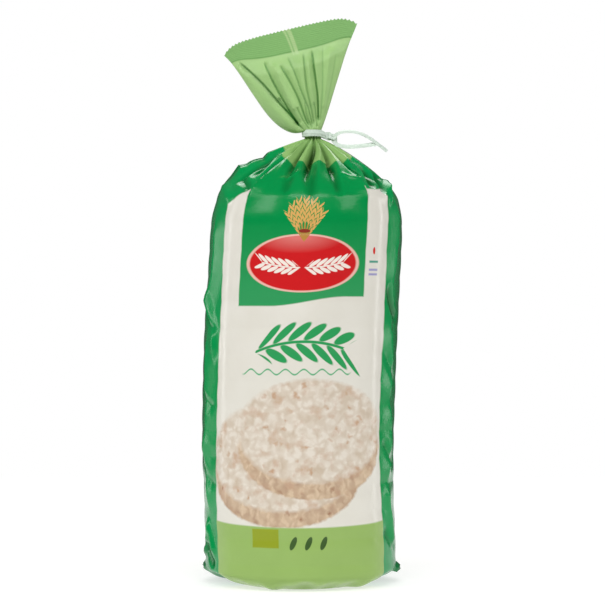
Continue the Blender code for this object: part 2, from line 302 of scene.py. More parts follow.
SHOULDER_CREASES = (
    (((-33, 186), (-31, 200), (-29, 216), (-36, 242)), 2.4, 1.8, 9.0),
    (((-40, 206), (-41, 218), (-50, 236)), -2.2, 5.0, 5.0),
    (((32, 186), (33, 200), (36, 212), (42, 232)), 2.2, 9.0, 1.8),
    (((39, 198), (44, 210), (50, 226)), -2.6, 3.0, 7.0),
    (((46, 194), (53, 205), (62, 214)), -2.2, 2.5, 6.0),
    (((50, 188), (58, 199), (72, 208)), 1.8, 3.0, 3.0),
    (((-54, 209), (-70, 212), (-92, 209)), 1.6, 7.0, 4.0),
    (((-50, 222), (-70, 226), (-94, 222)), -1.6, 7.0, 4.0),
    (((16, 192), (17, 206), (18, 226)), -1.2, 3.0, 4.0),
    (((-13, 192), (-12, 204), (-10, 222)), -0.9, 4.0, 4.0),
    (((1, 188), (2, 204), (3, 224)), -1.0, 5.0, 5.0),
    (((-20, 206), (-12, 209), (-6, 215)), 0.8, 3.0, 3.0),
    (((22, 212), (28, 207), (36, 205)), 1.1, 2.5, 3.0),
    (((-34, 196), (-40, 202), (-52, 206)), -1.2, 4.0, 4.0),
    (((-44, 190), (-56, 196), (-70, 200)), 1.2, 4.0, 5.0),
    (((44, 190), (52, 197), (66, 202)), 1.2, 4.0, 4.0),
    (((-120, 192), (-118, 206), (-112, 222)), -1.2, 5.0, 5.0),
    (((118, 192), (120, 208), (116, 224)), -1.2, 5.0, 5.0),
)
relief = np.zeros(rows.shape[:2])
for route, height, left, right in SIDE_CREASES + SHOULDER_CREASES:
    relief += crease(film, route, height, left, right)

# The edge of the base lifts and waves a little where the film is folded under.
seat_wave = 1.1 + 0.9 * np.sin(5.0 * turns + 0.6) + 0.6 * np.sin(11.0 * turns + 2.0)
seat_wave = seat_wave + 0.35 * np.sin(23.0 * turns)
edge_share = np.clip((film[..., 1] - SEAT_FILM_EDGE) / 12.0, 0.0, 1.0)
rows[..., 2] += np.sin(math.pi * edge_share ** 0.8) * seat_wave * (film[..., 1] < SEAT_EDGE)
lifted = smooth((film[..., 1] + 14.0) / 12.0) * (1.0 - smooth((film[..., 1] - 2.0) / 12.0))
rows[..., 2] += CORNER_LIFT * np.abs(np.sin(turns)) ** 3 * lifted
calm = smooth((film[..., 1] + 4.0) / 8.0) * (1.0 - smooth((film[..., 1] - 232.0) / 8.0))
rows += surface_normals(rows) * (relief * calm)[..., None]
# Painted shade also goes into the dents of the creases.
fold_shade = np.array(fold_shade) + np.clip(-relief / 2.4, 0.0, 0.7)
rows[..., 2] = np.maximum(rows[..., 2], 0.0)
bag_body = film_mesh("bag_body", rows, film, fold_shade)


def add(tree, kind, inputs=None, **settings):
    """Adds a node to a tree, with its settings and its inputs' values or links, and returns it."""
    node = tree.nodes.new(kind)
    for name, value in settings.items():
        setattr(node, name, value)
    for key, value in (inputs or {}).items():
        if isinstance(value, bpy.types.NodeSocket):
            tree.links.new(value, node.inputs[key])
        else:
            node.inputs[key].default_value = value
    return node


def film_relief_tree():
    """Geometry Nodes: presses the cakes' rims and the film's own crinkles through the film."""
    tree = bpy.data.node_groups.new("film relief", "GeometryNodeTree")
    face = tree.interface
    face.new_socket("Geometry", in_out="OUTPUT", socket_type="NodeSocketGeometry")
    face.new_socket("Geometry", in_out="INPUT", socket_type="NodeSocketGeometry")
    for name in ("Rim Pitch", "Rim Depth", "Rim Top", "Crinkle Size", "Crinkle Depth", "Ripple Size",
                 "Ripple Depth"):
        face.new_socket(name, in_out="INPUT", socket_type="NodeSocketFloat")
    face.new_socket("Film", in_out="INPUT", socket_type="NodeSocketMaterial")
    given = add(tree, "NodeGroupInput").outputs
    place = add(tree, "GeometryNodeInputPosition").outputs[0]
    normal = add(tree, "GeometryNodeInputNormal").outputs[0]
    height = add(tree, "ShaderNodeSeparateXYZ", {0: place}).outputs["Z"]
    cakes = add(tree, "ShaderNodeMath", {0: height, 1: given["Rim Pitch"]}, operation="DIVIDE").outputs[0]
    swing = add(tree, "ShaderNodeMath", {0: cakes, 1: math.pi}, operation="MULTIPLY").outputs[0]
    wave = add(tree, "ShaderNodeMath", {0: swing}, operation="SINE").outputs[0]
    bulge = add(tree, "ShaderNodeMath", {0: wave}, operation="ABSOLUTE").outputs[0]
    above = add(tree, "ShaderNodeMath", {0: given["Rim Top"], 1: height}, operation="SUBTRACT").outputs[0]
    held = add(tree, "ShaderNodeMapRange", {0: above, 1: 0.0, 2: 0.012}).outputs[0]
    rims = add(tree, "ShaderNodeMath", {0: bulge, 1: held}, operation="MULTIPLY").outputs[0]
    offset = add(tree, "ShaderNodeMath", {0: rims, 1: given["Rim Depth"]}, operation="MULTIPLY").outputs[0]
    stretched = add(tree, "ShaderNodeVectorMath", {0: place, 1: (1.0, 1.0, 0.5)},
                    operation="MULTIPLY").outputs[0]
    for size, depth, kind in (("Crinkle Size", "Crinkle Depth", "RIDGED_MULTIFRACTAL"),
                              ("Ripple Size", "Ripple Depth", "FBM")):
        scale = add(tree, "ShaderNodeMath", {0: 1.0, 1: given[size]}, operation="DIVIDE").outputs[0]
        noise = add(tree, "ShaderNodeTexNoise", {"Vector": stretched, "Scale": scale, "Detail": 2.0},
                    noise_type=kind, normalize=True).outputs[0]
        level = add(tree, "ShaderNodeMath", {0: noise, 1: 0.5}, operation="SUBTRACT").outputs[0]
        offset = add(tree, "ShaderNodeMath", {0: level, 1: given[depth], 2: offset},
                     operation="MULTIPLY_ADD").outputs[0]
    floor_gap = add(tree, "ShaderNodeMapRange", {0: height, 1: 0.001, 2: 0.012}).outputs[0]
    offset = add(tree, "ShaderNodeMath", {0: offset, 1: floor_gap}, operation="MULTIPLY").outputs[0]
    push = add(tree, "ShaderNodeVectorMath", {0: normal, "Scale": offset}, operation="SCALE").outputs[0]
    moved = add(tree, "GeometryNodeSetPosition", {"Geometry": given["Geometry"], "Offset": push}).outputs[0]
    solid = add(tree, "GeometryNodeRealizeInstances", {0: moved}).outputs[0]
    done = add(tree, "GeometryNodeSetMaterial", {"Geometry": solid, "Material": given["Film"]}).outputs[0]
    add(tree, "NodeGroupOutput", {0: done})
    return tree


def apply_tree(piece, tree, values):
    """Runs a Geometry Nodes tree on a piece, keeps the result as a plain mesh and drops the modifier."""
    modifier = piece.modifiers.new(tree.name, "NODES")
    modifier.node_group = tree
    for item in tree.interface.items_tree:
        if item.in_out == "INPUT" and item.name in values:
            modifier[item.identifier] = values[item.name]
    piece.update_tag()
    evaluated = piece.evaluated_get(bpy.context.evaluated_depsgraph_get())
    mesh = bpy.data.meshes.new_from_object(evaluated)
    mesh.name = piece.name
    piece.modifiers.remove(modifier)
    if piece.type == "MESH":
        piece.data = mesh
        return piece
    name = piece.name
    bpy.data.objects.remove(piece)
    made = bpy.data.objects.new(name, mesh)
    bpy.context.scene.collection.objects.link(made)
    return made


def paint(hex_colour):
    """Linear colour of an sRGB hex value such as #00984C."""
    parts = [int(hex_colour[i:i + 2], 16) / 255 for i in (1, 3, 5)]
    return tuple(p / 12.92 if p <= 0.04045 else ((p + 0.055) / 1.055) ** 2.4 for p in parts) + (1.0,)


def new_material(name):
    """An empty node material and its tree."""
    material = bpy.data.materials.new(name)
    material.use_nodes = True
    material.node_tree.nodes.clear()
    return material, material.node_tree


def film_place(tree):
    """The film's own coordinates in millimetres, as a vector and as its two parts."""
    place = add(tree, "ShaderNodeUVMap", uv_map="film").outputs[0]
    parts = add(tree, "ShaderNodeSeparateXYZ", {0: place}).outputs
    return place, parts["X"], parts["Y"]


def edge_mask(tree, distance, soft):
    """1 where a distance in millimetres is below zero, fading over a soft printed edge."""
    return add(tree, "ShaderNodeMapRange", {0: distance, 1: soft, 2: -soft, 3: 0.0, 4: 1.0}).outputs[0]


def box_mask(tree, place, low, high, soft=0.25):
    """A printed rectangle between two corners of the film."""
    middle = ((low[0] + high[0]) / 2, (low[1] + high[1]) / 2, 0.0)
    half = ((high[0] - low[0]) / 2, (high[1] - low[1]) / 2, 0.0)
    centred = add(tree, "ShaderNodeVectorMath", {0: place, 1: middle}, operation="SUBTRACT").outputs[0]
    folded = add(tree, "ShaderNodeVectorMath", {0: centred}, operation="ABSOLUTE").outputs[0]
    past = add(tree, "ShaderNodeVectorMath", {0: folded, 1: half}, operation="SUBTRACT").outputs[0]
    parts = add(tree, "ShaderNodeSeparateXYZ", {0: past}).outputs
    distance = add(tree, "ShaderNodeMath", {0: parts["X"], 1: parts["Y"]}, operation="MAXIMUM").outputs[0]
    return edge_mask(tree, distance, soft)


def oval_length(tree, place, middle, radii, turn=0.0):
    """Distance from an oval's middle as a share of its radius, so 1 is its outline."""
    local = add(tree, "ShaderNodeMapping", {"Vector": place, "Location": (middle[0], middle[1], 0.0),
                                            "Rotation": (0.0, 0.0, math.radians(turn)),
                                            "Scale": (radii[0], radii[1], 1.0)}, vector_type="TEXTURE")
    return add(tree, "ShaderNodeVectorMath", {0: local.outputs[0]}, operation="LENGTH").outputs["Value"]


def grains_mask(tree, place, grains):
    """Printed grains: ovals of (middle, radii, turn in degrees), joined into one mask."""
    nearest = None
    for middle, radii, turn in grains:
        length = oval_length(tree, place, middle, radii, turn)
        if nearest is None:
            nearest = length
        else:
            nearest = add(tree, "ShaderNodeMath", {0: nearest, 1: length}, operation="MINIMUM").outputs[0]
    return add(tree, "ShaderNodeMapRange", {0: nearest, 1: 1.06, 2: 0.94}).outputs[0]


def over(tree, below, above, mask):
    """One ink printed over another where the mask is 1."""
    layer = add(tree, "ShaderNodeMix", {0: mask}, data_type="RGBA")
    for socket, colour in ((layer.inputs["A"], below), (layer.inputs["B"], above)):
        if isinstance(colour, bpy.types.NodeSocket):
            tree.links.new(colour, socket)
        else:
            socket.default_value = paint(colour)
    return layer.outputs["Result"]


INK_GREEN = "#008C45"
INK_CREAM = "#E4E1D8"
INK_PALE_GREEN = "#A8CE84"
INK_MOUTH = "#8DB66C"
INK_BOTTOM_GREEN = "#98B866"
INK_RED = "#CC1F22"
INK_PINK = "#EBB9AC"
INK_LABEL = "#909E22"
INK_SPRIG = "#2F9A58"
INK_GOLD = "#D9A860"

PANEL_EDGE = 47.6
BACK_PANEL_EDGE = FILM_ROUND / 2 - 38.0
GUSSET_START, GUSSET_END = 59.0, 70.0
PANEL_BOTTOM = 31.0
BLOCK_LEFT, BLOCK_RIGHT, BLOCK_BOTTOM = -33.4, 32.2, 142.0
STRIP_TOP = 199.0
MOUTH_LINE = 223.5
OVAL_MIDDLE, OVAL_RADII = (-0.6, 160.7), (29.2, 14.3)


def grain_rows(tree, along, across, pitch, size, lean, first, last):
    """Printed grains in two rows, one on each side of a stem, from a first to a last place along
    it. They stand a pitch apart, are (half length, half width) big and lean away by an angle."""
    away = add(tree, "ShaderNodeMath", {0: across}, operation="ABSOLUTE").outputs[0]
    slid = add(tree, "ShaderNodeMath", {0: away, 1: -1.0 / math.tan(lean), 2: along},
               operation="MULTIPLY_ADD").outputs[0]
    side = add(tree, "ShaderNodeMath", {0: across, 1: 0.0}, operation="GREATER_THAN").outputs[0]
    staggered = add(tree, "ShaderNodeMath", {0: side, 1: pitch / 2, 2: slid},
                    operation="MULTIPLY_ADD").outputs[0]
    cell = add(tree, "ShaderNodeMath", {0: staggered, 1: pitch}, operation="FLOORED_MODULO").outputs[0]
    half_cell = pitch * math.sin(lean) / 2 / size[1]
    wide = add(tree, "ShaderNodeMapRange", {0: cell, 1: 0.0, 2: pitch, 3: -half_cell,
                                            4: half_cell}).outputs[0]
    long = add(tree, "ShaderNodeMath", {0: away, 1: 1.0 / math.sin(lean) / size[0], 2: -1.12},
               operation="MULTIPLY_ADD").outputs[0]
    grain = add(tree, "ShaderNodeCombineXYZ", {0: wide, 1: long}).outputs[0]
    length = add(tree, "ShaderNodeVectorMath", {0: grain}, operation="LENGTH").outputs["Value"]
    mask = add(tree, "ShaderNodeMapRange", {0: length, 1: 1.08, 2: 0.92}).outputs[0]
    stem = add(tree, "ShaderNodeMapRange", {0: away, 1: 0.42 * size[1], 2: 0.26 * size[1]}).outputs[0]
    printed = add(tree, "ShaderNodeMath", {0: mask, 1: stem}, operation="MAXIMUM").outputs[0]
    spot = add(tree, "ShaderNodeCombineXYZ", {0: slid, 1: across}).outputs[0]
    inside = box_mask(tree, spot, (first, -3.0 * size[0]), (last, 3.0 * size[0]))
    return add(tree, "ShaderNodeMath", {0: printed, 1: inside}, operation="MULTIPLY").outputs[0]


def bowed_stem(tree, way_round, height, middle, bow):
    """Distances along and across a stem that bows up or down on both sides of its middle."""
    along = add(tree, "ShaderNodeMath", {0: way_round, 1: middle[0]}, operation="SUBTRACT").outputs[0]
    square = add(tree, "ShaderNodeMath", {0: along, 1: along}, operation="MULTIPLY").outputs[0]
    line = add(tree, "ShaderNodeMath", {0: square, 1: bow, 2: middle[1]}, operation="MULTIPLY_ADD").outputs[0]
    return along, add(tree, "ShaderNodeMath", {0: height, 1: line}, operation="SUBTRACT").outputs[0]


def printed_body_film():
    """BOPP film, gravure printed on its inner side and laminated: a clear, glossy skin over flat
    inks, with soft clouding in the light fields where the cakes press against it. Painted shade
    darkens its folds and side gussets, and a painted reflection lightens the lower green block."""
    material, tree = new_material("printed BOPP film")
    place, way_round, height = film_place(tree)

    # The green ground, with painted shade darkening it on the side gussets towards the outline.
    green_cloud = add(tree, "ShaderNodeTexNoise", {"Vector": place, "Scale": 0.045, "Detail": 2.0}).outputs[0]
    colour = over(tree, INK_GREEN, "#009650", green_cloud)
    from_front = add(tree, "ShaderNodeMath", {0: way_round}, operation="ABSOLUTE").outputs[0]
    gusset_shade = add(tree, "ShaderNodeMapRange", {0: from_front, 1: GUSSET_START, 2: GUSSET_END,
                                              3: 0.0, 4: 0.75}).outputs[0]
    colour = over(tree, colour, "#00602F", gusset_shade)

    # Cream panels on the front and the back, their long edges wandering as the film is pulled.
    wander = add(tree, "ShaderNodeTexNoise", {"Vector": place, "Scale": 0.012, "Detail": 0.0}).outputs[0]
    shift = add(tree, "ShaderNodeMath", {0: wander, 1: 7.0, 2: -3.5}, operation="MULTIPLY_ADD").outputs[0]
    shifted = add(tree, "ShaderNodeMath", {0: way_round, 1: shift}, operation="ADD").outputs[0]
    sideways = add(tree, "ShaderNodeMath", {0: shifted}, operation="ABSOLUTE").outputs[0]
    front_edge = add(tree, "ShaderNodeMath", {0: sideways, 1: PANEL_EDGE}, operation="SUBTRACT").outputs[0]
    back_edge = add(tree, "ShaderNodeMath", {0: BACK_PANEL_EDGE, 1: sideways},
                    operation="SUBTRACT").outputs[0]
    panel_edge = add(tree, "ShaderNodeMath", {0: front_edge, 1: back_edge}, operation="MINIMUM").outputs[0]
    slope = add(tree, "ShaderNodeMapRange", {0: way_round, 1: -PANEL_EDGE, 2: -33.0,
                                             3: -9.0, 4: 0.0}).outputs[0]
    in_front = add(tree, "ShaderNodeMath", {0: way_round, 1: -60.0}, operation="GREATER_THAN").outputs[0]
    dropped = add(tree, "ShaderNodeMath", {0: slope, 1: in_front}, operation="MULTIPLY").outputs[0]
    strip_top = add(tree, "ShaderNodeMath", {0: dropped, 1: STRIP_TOP}, operation="ADD").outputs[0]
    past_top = add(tree, "ShaderNodeMath", {0: height, 1: strip_top}, operation="SUBTRACT").outputs[0]
    cream_edge = add(tree, "ShaderNodeMath", {0: panel_edge, 1: past_top}, operation="MAXIMUM").outputs[0]
    cream_mask = edge_mask(tree, cream_edge, 0.5)
    cream_cloud = add(tree, "ShaderNodeTexNoise", {"Vector": place, "Scale": 0.06, "Detail": 3.0}).outputs[0]
    cream = over(tree, INK_CREAM, "#DAD6CA", cream_cloud)
    colour = over(tree, colour, cream, cream_mask)

    # The green block at the top of the front, with a lower edge cut in one slow wave, and a painted
    # reflection lightening its lower part.
    rise = add(tree, "ShaderNodeMapRange", {0: way_round, 1: -16.0, 2: 22.0, 3: -2.2, 4: 2.4},
               interpolation_type="SMOOTHSTEP").outputs[0]
    lowered = add(tree, "ShaderNodeMath", {0: height, 1: rise}, operation="SUBTRACT").outputs[0]
    block_place = add(tree, "ShaderNodeCombineXYZ", {0: way_round, 1: lowered}).outputs[0]
    block = box_mask(tree, block_place, (BLOCK_LEFT, BLOCK_BOTTOM), (BLOCK_RIGHT, 260.0), 0.3)
    # Painted reflection: the block's green is lightened towards its lower part.
    block_painted_sheen = add(tree, "ShaderNodeMapRange", {0: height, 1: 182.0, 2: 146.0}).outputs[0]
    block_ink_and_sheen = over(tree, INK_GREEN, "#33985A", block_painted_sheen)
    colour = over(tree, colour, block_ink_and_sheen, block)

    # A red oval with a pale border, a soft glow and two mirrored cream sprigs.
    oval = oval_length(tree, place, OVAL_MIDDLE, OVAL_RADII)
    oval_mask = add(tree, "ShaderNodeMapRange", {0: oval, 1: 1.01, 2: 0.985}).outputs[0]
    red_mask = add(tree, "ShaderNodeMapRange", {0: oval, 1: 0.955, 2: 0.925}).outputs[0]
    glow = oval_length(tree, place, (OVAL_MIDDLE[0] - 3.0, OVAL_MIDDLE[1] + 13.5), (22.0, 8.0))
    glow_mask = add(tree, "ShaderNodeMapRange", {0: glow, 1: 1.1, 2: 0.2, 3: 0.0, 4: 0.55}).outputs[0]
    red = over(tree, INK_RED, "#E89A92", glow_mask)
    along, across = bowed_stem(tree, way_round, height, (OVAL_MIDDLE[0], OVAL_MIDDLE[1] - 2.2), 0.0062)
    from_middle = add(tree, "ShaderNodeMath", {0: along}, operation="ABSOLUTE").outputs[0]
    garland = grain_rows(tree, from_middle, across, 3.5, (2.9, 0.95), math.radians(38), 1.0, 20.5)
    red = over(tree, red, "#F1E6DC", garland)
    colour = over(tree, colour, over(tree, INK_PINK, red, red_mask), oval_mask)

    # A golden sheaf over the oval: seven stalks that spread from one foot, bound with a band.
    from_foot = add(tree, "ShaderNodeVectorMath", {0: place, 1: (OVAL_MIDDLE[0], 171.0, 0.0)},
                    operation="SUBTRACT").outputs[0]
    parts = add(tree, "ShaderNodeSeparateXYZ", {0: from_foot}).outputs
    reach = add(tree, "ShaderNodeVectorMath", {0: from_foot}, operation="LENGTH").outputs["Value"]
    heading = add(tree, "ShaderNodeMath", {0: parts["X"], 1: parts["Y"]}, operation="ARCTAN2").outputs[0]
    stalk_step = math.radians(10.5)
    number = add(tree, "ShaderNodeMath", {0: heading, 1: stalk_step}, operation="DIVIDE").outputs[0]
    stalk = add(tree, "ShaderNodeMath", {0: number}, operation="ROUND").outputs[0]
    off_stalk = add(tree, "ShaderNodeMath", {0: number, 1: stalk}, operation="SUBTRACT").outputs[0]
    off_arc = add(tree, "ShaderNodeMath", {0: off_stalk, 1: reach}, operation="MULTIPLY").outputs[0]
    beside = add(tree, "ShaderNodeMath", {0: off_arc, 1: stalk_step}, operation="MULTIPLY").outputs[0]
    spread = add(tree, "ShaderNodeMath", {0: stalk, 1: stalk}, operation="MULTIPLY").outputs[0]
    shorter = add(tree, "ShaderNodeMath", {0: spread, 1: 0.45, 2: reach}, operation="MULTIPLY_ADD").outputs[0]
    fan_shape = add(tree, "ShaderNodeMath", {0: spread, 1: 9.5}, operation="LESS_THAN").outputs[0]
    upright = add(tree, "ShaderNodeMath", {0: parts["Y"], 1: 0.0}, operation="GREATER_THAN").outputs[0]
    sheaf = add(tree, "ShaderNodeMath", {0: fan_shape, 1: upright}, operation="MULTIPLY").outputs[0]
    stalk_place = add(tree, "ShaderNodeCombineXYZ", {0: shorter, 1: beside}).outputs[0]
    straw = add(tree, "ShaderNodeMath", {0: box_mask(tree, stalk_place, (1.0, -0.34), (14.0, 0.34), 0.12),
                                         1: sheaf}, operation="MULTIPLY").outputs[0]
    colour = over(tree, colour, "#B98A42", straw)
    ears = grain_rows(tree, shorter, beside, 2.9, (1.5, 0.62), math.radians(32), 9.0, 21.0)
    ears = add(tree, "ShaderNodeMath", {0: ears, 1: sheaf}, operation="MULTIPLY").outputs[0]
    colour = over(tree, colour, INK_GOLD, ears)
    band = grains_mask(tree, place, [((OVAL_MIDDLE[0], 176.4), (2.9, 0.95), 0.0)])
    colour = over(tree, colour, "#8E3327", band)

    # A green sprig of rice grains and a thin flourish under it.
    along, across = bowed_stem(tree, way_round, height, (2.0, 122.4), -0.0085)
    sprig = grain_rows(tree, along, across, 7.6, (6.6, 2.05), math.radians(44), -25.0, 20.0)
    colour = over(tree, colour, INK_SPRIG, sprig)
    swing = add(tree, "ShaderNodeMath", {0: way_round, 1: 2 * math.pi / 9.0}, operation="MULTIPLY").outputs[0]
    wave = add(tree, "ShaderNodeMath", {0: swing}, operation="SINE").outputs[0]
    flourish = add(tree, "ShaderNodeMath", {0: wave, 1: 1.3, 2: 107.6}, operation="MULTIPLY_ADD").outputs[0]
    off_line = add(tree, "ShaderNodeMath", {0: height, 1: flourish}, operation="SUBTRACT").outputs[0]
    line_gap = add(tree, "ShaderNodeMath", {0: off_line}, operation="ABSOLUTE").outputs[0]
    thin = add(tree, "ShaderNodeMapRange", {0: line_gap, 1: 0.6, 2: 0.2}).outputs[0]
    span = box_mask(tree, place, (-29.0, 104.0), (26.0, 112.0), 1.0)
    line_mask = add(tree, "ShaderNodeMath", {0: thin, 1: span}, operation="MULTIPLY").outputs[0]
    colour = over(tree, colour, "#5FAF7C", line_mask)

    # Two printed cakes, one behind the other. Each is a pale puffed face over a tan rim.
    wobble = add(tree, "ShaderNodeTexNoise", {"Vector": place, "Scale": 0.22, "Detail": 2.0}).outputs["Color"]
    bent = add(tree, "ShaderNodeVectorMath", {0: wobble, 1: (6.0, 6.0, 0.0), 2: place},
               operation="MULTIPLY_ADD").outputs[0]
    cells = add(tree, "ShaderNodeTexVoronoi", {"Vector": bent, "Scale": 0.34}, feature="SMOOTH_F1")
    puff = add(tree, "ShaderNodeMapRange", {0: cells.outputs["Distance"], 1: 0.2, 2: 0.8}).outputs[0]
    warm = add(tree, "ShaderNodeTexNoise", {"Vector": place, "Scale": 0.13, "Detail": 4.0}).outputs[0]
    blush = add(tree, "ShaderNodeMapRange", {0: warm, 1: 0.52, 2: 0.72}).outputs[0]
    grain_face = over(tree, "#E0D7CA", "#C8B7A2", puff)
    grain_face = over(tree, grain_face, "#C6AA92", blush)
    spots = add(tree, "ShaderNodeTexVoronoi", {"Vector": bent, "Scale": 0.15}).outputs["Distance"]
    spot_mask = add(tree, "ShaderNodeMapRange", {0: spots, 1: 0.24, 2: 0.05, 3: 0.0, 4: 0.7}).outputs[0]
    grain_face = over(tree, grain_face, "#B98E6A", spot_mask)
    drawn_out = add(tree, "ShaderNodeMapping", {"Vector": bent, "Scale": (1.0, 0.6, 1.0)}).outputs[0]
    rim_grain = add(tree, "ShaderNodeTexVoronoi", {"Vector": drawn_out, "Scale": 0.42},
                    feature="SMOOTH_F1").outputs["Distance"]
    rim_mix = add(tree, "ShaderNodeMapRange", {0: rim_grain, 1: 0.2, 2: 0.75}).outputs[0]
    rim = over(tree, "#D3BCA0", "#B2957C", rim_mix)
    rim = over(tree, rim, "#BC9A80", blush)
    rim = over(tree, rim, "#8A5638", spot_mask)
    ragged = add(tree, "ShaderNodeTexNoise", {"Vector": place, "Scale": 0.35, "Detail": 2.0}).outputs[0]
    jitter = add(tree, "ShaderNodeMath", {0: ragged, 1: 0.07, 2: -0.035}, operation="MULTIPLY_ADD").outputs[0]
    for middle, radii, rim_drop in (((-8.2, 66.0), (41.5, 27.0), 7.8), ((7.0, 78.6), (38.8, 25.6), 8.0)):
        low = oval_length(tree, place, (middle[0], middle[1] - rim_drop), radii)
        face = oval_length(tree, place, middle, radii)
        low = add(tree, "ShaderNodeMath", {0: low, 1: jitter}, operation="ADD").outputs[0]
        face = add(tree, "ShaderNodeMath", {0: face, 1: jitter}, operation="ADD").outputs[0]
        below_middle = add(tree, "ShaderNodeMapRange", {0: height, 1: middle[1] + 6.0, 2: middle[1] - 10.0})
        low_mask = add(tree, "ShaderNodeMapRange", {0: low, 1: 1.01, 2: 0.97}).outputs[0]
        low_mask = add(tree, "ShaderNodeMath", {0: low_mask, 1: below_middle.outputs[0]},
                       operation="MULTIPLY").outputs[0]
        low_mask = add(tree, "ShaderNodeMath", {0: low_mask, 1: cream_mask}, operation="MULTIPLY").outputs[0]
        face_mask = add(tree, "ShaderNodeMapRange", {0: face, 1: 1.03, 2: 0.95}).outputs[0]
        face_mask = add(tree, "ShaderNodeMath", {0: face_mask, 1: cream_mask},
                        operation="MULTIPLY").outputs[0]
        colour = over(tree, colour, rim, low_mask)
        colour = over(tree, colour, grain_face, face_mask)

    # The pale green foot with a plain label and three grains, small marks beside the block, and
    # the pale green mouth.
    foot_side = add(tree, "ShaderNodeMath", {0: panel_edge, 1: 0.4}, operation="SUBTRACT").outputs[0]
    square = add(tree, "ShaderNodeMath", {0: way_round, 1: way_round}, operation="MULTIPLY").outputs[0]
    bow = add(tree, "ShaderNodeMath", {0: square, 1: PANEL_EDGE ** 2}, operation="MINIMUM").outputs[0]
    foot_line = add(tree, "ShaderNodeMath", {0: bow, 1: 0.0007, 2: PANEL_BOTTOM + 0.6},
                    operation="MULTIPLY_ADD").outputs[0]
    foot_top = add(tree, "ShaderNodeMath", {0: height, 1: foot_line}, operation="SUBTRACT").outputs[0]
    foot = add(tree, "ShaderNodeMath", {0: foot_side, 1: foot_top}, operation="MAXIMUM").outputs[0]
    foot_cloud = over(tree, INK_BOTTOM_GREEN, "#8FAF5E", cream_cloud)
    colour = over(tree, colour, foot_cloud, edge_mask(tree, foot, 0.4))
    colour = over(tree, colour, INK_LABEL, box_mask(tree, place, (-24.0, 21.6), (-10.2, 30.8)))
    marks = [((-3.0 + step * 7.5, 24.0), (1.35, 3.5), -24.0) for step in range(3)]
    colour = over(tree, colour, "#3E5A2C", grains_mask(tree, place, marks))
    drops = [((37.6, 167.0), (0.8, 1.8), 0.0)]
    colour = over(tree, colour, "#D0312D", grains_mask(tree, place, drops))
    for line_height, line_ink in ((161.6, "#4F9A86"), (157.6, "#9D9BC4"), (155.4, "#9D9BC4")):
        bar = box_mask(tree, place, (34.6, line_height - 0.55), (40.6, line_height + 0.55))
        colour = over(tree, colour, line_ink, bar)
    left_rise = add(tree, "ShaderNodeMapRange", {0: way_round, 1: -15.0, 2: -60.0, 3: 0.0, 4: 14.0},
                    interpolation_type="SMOOTHSTEP").outputs[0]
    right_rise = add(tree, "ShaderNodeMapRange", {0: way_round, 1: 26.0, 2: 70.0, 3: MOUTH_LINE,
                                                  4: MOUTH_LINE + 6.5},
                     interpolation_type="SMOOTHSTEP").outputs[0]
    mouth_line = add(tree, "ShaderNodeMath", {0: left_rise, 1: right_rise}, operation="ADD").outputs[0]
    mouth = add(tree, "ShaderNodeMath", {0: mouth_line, 1: height}, operation="SUBTRACT").outputs[0]
    colour = over(tree, colour, INK_MOUTH, edge_mask(tree, mouth, 0.5))
    # Painted shade: the ink is multiplied towards a dark green in the fold valleys and crease dents, which
    # also stands for the deeper colour of film lying doubled there.
    deep = add(tree, "ShaderNodeAttribute", attribute_name="painted_fold_shade").outputs["Fac"]
    shaded = over(tree, "#FFFFFF", "#4C7A44", deep)
    ink_with_painted_shade = add(tree, "ShaderNodeMix", {0: 1.0}, data_type="RGBA", blend_type="MULTIPLY")
    tree.links.new(colour, ink_with_painted_shade.inputs["A"])
    tree.links.new(shaded, ink_with_painted_shade.inputs["B"])
    colour = ink_with_painted_shade.outputs["Result"]

    crackle = add(tree, "ShaderNodeTexNoise", {"Vector": place, "Scale": 0.5, "Detail": 3.0}).outputs[0]
    bump = add(tree, "ShaderNodeBump", {"Strength": 0.12, "Distance": 0.0004, "Height": crackle}).outputs[0]
    smear = add(tree, "ShaderNodeTexNoise", {"Vector": place, "Scale": 0.08, "Detail": 2.0}).outputs[0]
    dull = add(tree, "ShaderNodeMapRange", {0: smear, 1: 0.3, 2: 0.7, 3: 0.15, 4: 0.26}).outputs[0]
    shader = add(tree, "ShaderNodeBsdfPrincipled", {"Base Color": colour, "Roughness": dull, "Normal": bump,
                                                    "IOR": 1.49, "Specular IOR Level": 0.25}).outputs[0]
    add(tree, "ShaderNodeOutputMaterial", {"Surface": shader})
    return material


film_relief = film_relief_tree()
bag_body = apply_tree(bag_body, film_relief, {
    "Rim Pitch": CAKE_PITCH * MM, "Rim Depth": 0.28 * MM, "Rim Top": STACK_TOP * MM,
    "Crinkle Size": 26 * MM, "Crinkle Depth": 0.7 * MM, "Ripple Size": 60 * MM, "Ripple Depth": 1.6 * MM,
    "Film": printed_body_film()})
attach(bag_body, "root")
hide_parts("film_bag")


# ---- The sealed top above the tie -----------------------------------------------------------
# Above the tie the bag opens out again to its flat, sealed mouth. Pleats run up from the neck
# into a crimped seal of four film layers, cut off in small teeth along its upper edge.

FAN_LEFT = ((1.4, 228.4), (-15.7, 221.6), (-30.3, 263.1), (-39.6, 267.6))
FAN_RIGHT = ((10.6, 229.5), (17.4, 247.4), (21.0, 267.0), (29.0, 284.2))
FAN_CROWN = 5.0
FAN_CURL = 6.0
FAN_COLUMNS = 440
FAN_ROWS = 165
SEAL_SHARE = 0.78
SEAL_BOW = 0.09
SEAL_HALF_THICKNESS = 0.22
TOOTH_PITCH = 1.9
TOOTH_DEPTH = 0.9
FAN_HALF_WIDTH = 36.0
FAN_RUN = 60.0


